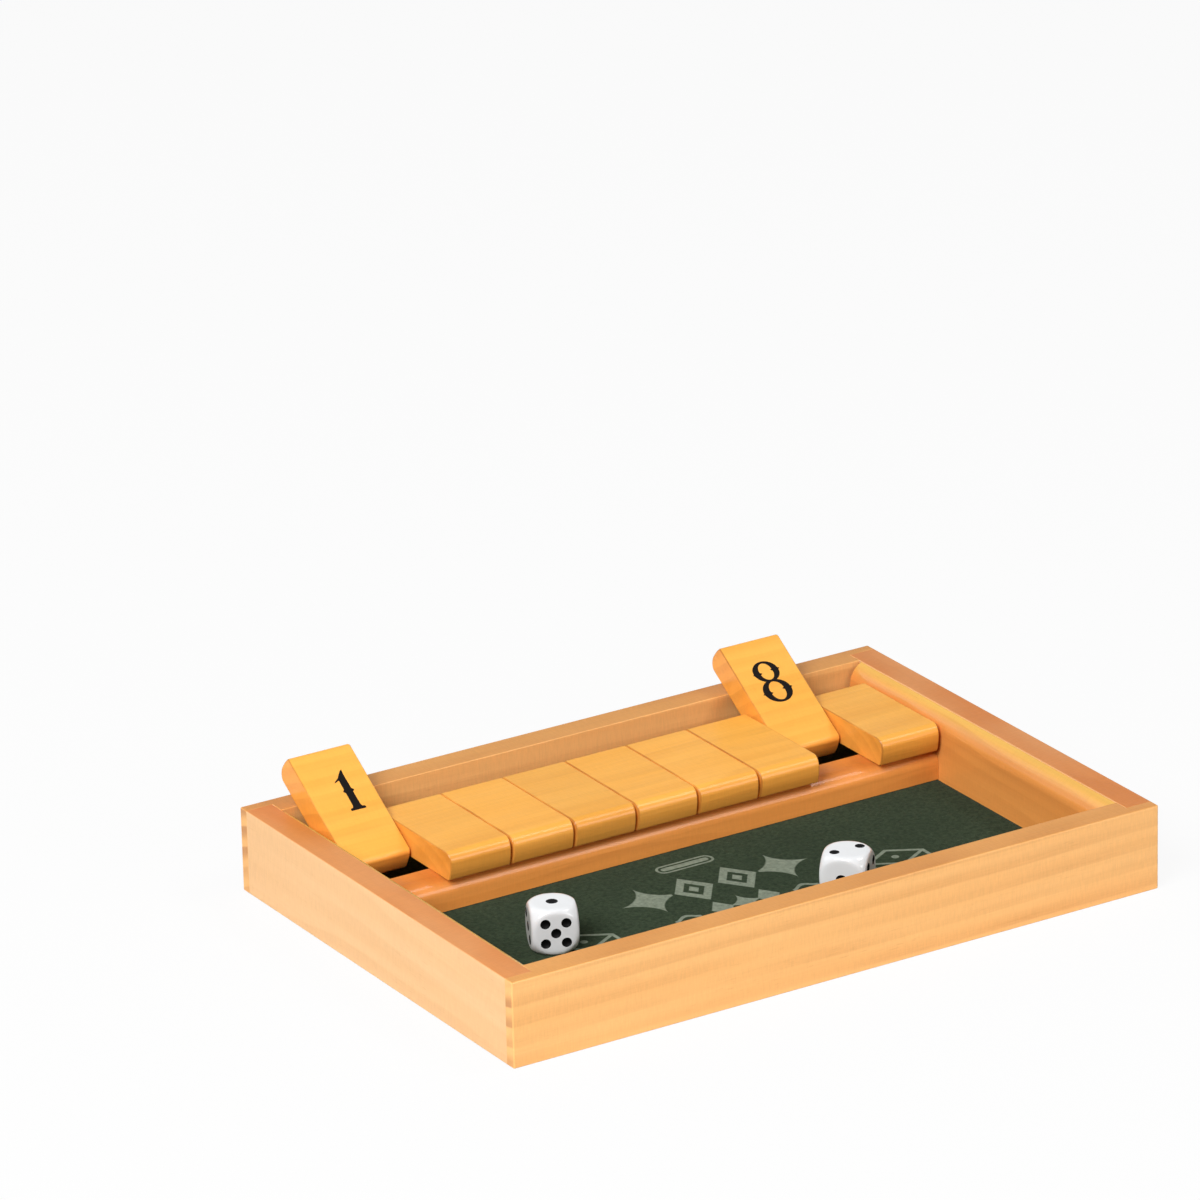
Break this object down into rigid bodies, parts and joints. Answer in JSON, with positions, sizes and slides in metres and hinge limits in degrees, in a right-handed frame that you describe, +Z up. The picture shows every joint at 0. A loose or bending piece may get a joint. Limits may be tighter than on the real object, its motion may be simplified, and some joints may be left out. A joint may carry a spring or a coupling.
{
  "type": "shut the box game",
  "caption": "Shallow wooden game tray with a felt floor, a row of hinged number tiles that swing from a rest bar onto the back rail, and loose rounded dice.",
  "frame": {"origin": "centre of the tray's footprint, on the surface that it stands on", "axes": "+X along the front rail from tile 1's side to tile 9's side, +Y from the front rail to the back rail, +Z up"},
  "size_m": [0.25, 0.1731, 0.0452],
  "materials": {
    "rail_wood": "satin lacquer",
    "side_rail_wood": "satin lacquer",
    "liner_wood": "satin lacquer",
    "rest_wood": "satin lacquer",
    "board_wood": "bare hardboard",
    "felt": "matt short-fibre felt",
    "rod_steel": "drawn wire",
    "tile_wood": "glossy lacquer",
    "die_plastic": "polished, with black paint in the pips"
  },
  "bodies": {
    "tray": {"front_rail": "rail_wood", "back_rail": "rail_wood", "left_rail": "side_rail_wood", "right_rail": "side_rail_wood", "left_liner": "liner_wood", "right_liner": "liner_wood", "tile_rest": "rest_wood", "base_board": "board_wood", "felt": "felt", "hinge_rod": "rod_steel"},
    "tile_1": {"tile_1": "tile_wood"},
    "tile_2": {"tile_2": "tile_wood"},
    "tile_3": {"tile_3": "tile_wood"},
    "tile_4": {"tile_4": "tile_wood"},
    "tile_5": {"tile_5": "tile_wood"},
    "tile_6": {"tile_6": "tile_wood"},
    "tile_7": {"tile_7": "tile_wood"},
    "tile_8": {"tile_8": "tile_wood"},
    "tile_9": {"tile_9": "tile_wood"},
    "die_1": {"die_1": "die_plastic"},
    "die_2": {"die_2": "die_plastic"}
  },
  "joints": [
    {"name": "tile_1_hinge", "type": "hinge", "parent": "tray", "child": "tile_1", "pos_m": [0, 0.0547, 0.0219], "axis": [1, 0, 0], "range_deg": [0, 146.7]},
    {"name": "tile_2_hinge", "type": "hinge", "parent": "tray", "child": "tile_2", "pos_m": [0, 0.0547, 0.0219], "axis": [-1, 0, 0], "range_deg": [0, 146.7]},
    {"name": "tile_3_hinge", "type": "hinge", "parent": "tray", "child": "tile_3", "pos_m": [0, 0.0547, 0.0219], "axis": [-1, 0, 0], "range_deg": [0, 146.7]},
    {"name": "tile_4_hinge", "type": "hinge", "parent": "tray", "child": "tile_4", "pos_m": [0, 0.0547, 0.0219], "axis": [-1, 0, 0], "range_deg": [0, 146.7]},
    {"name": "tile_5_hinge", "type": "hinge", "parent": "tray", "child": "tile_5", "pos_m": [0, 0.0547, 0.0219], "axis": [-1, 0, 0], "range_deg": [0, 146.7]},
    {"name": "tile_6_hinge", "type": "hinge", "parent": "tray", "child": "tile_6", "pos_m": [0, 0.0547, 0.0219], "axis": [-1, 0, 0], "range_deg": [0, 146.7]},
    {"name": "tile_7_hinge", "type": "hinge", "parent": "tray", "child": "tile_7", "pos_m": [0, 0.0547, 0.0219], "axis": [-1, 0, 0], "range_deg": [0, 146.7]},
    {"name": "tile_8_hinge", "type": "hinge", "parent": "tray", "child": "tile_8", "pos_m": [0, 0.0547, 0.0219], "axis": [1, 0, 0], "range_deg": [0, 146.7]},
    {"name": "tile_9_hinge", "type": "hinge", "parent": "tray", "child": "tile_9", "pos_m": [0, 0.0547, 0.0219], "axis": [-1, 0, 0], "range_deg": [0, 146.7]},
    {"name": "die_1_lift", "type": "slide", "parent": "tray", "child": "die_1", "axis": [0, 0, 1], "range_m": [0, 0.05]},
    {"name": "die_2_lift", "type": "slide", "parent": "tray", "child": "die_2", "axis": [0, 0, 1], "range_m": [0, 0.05]}
  ]
}
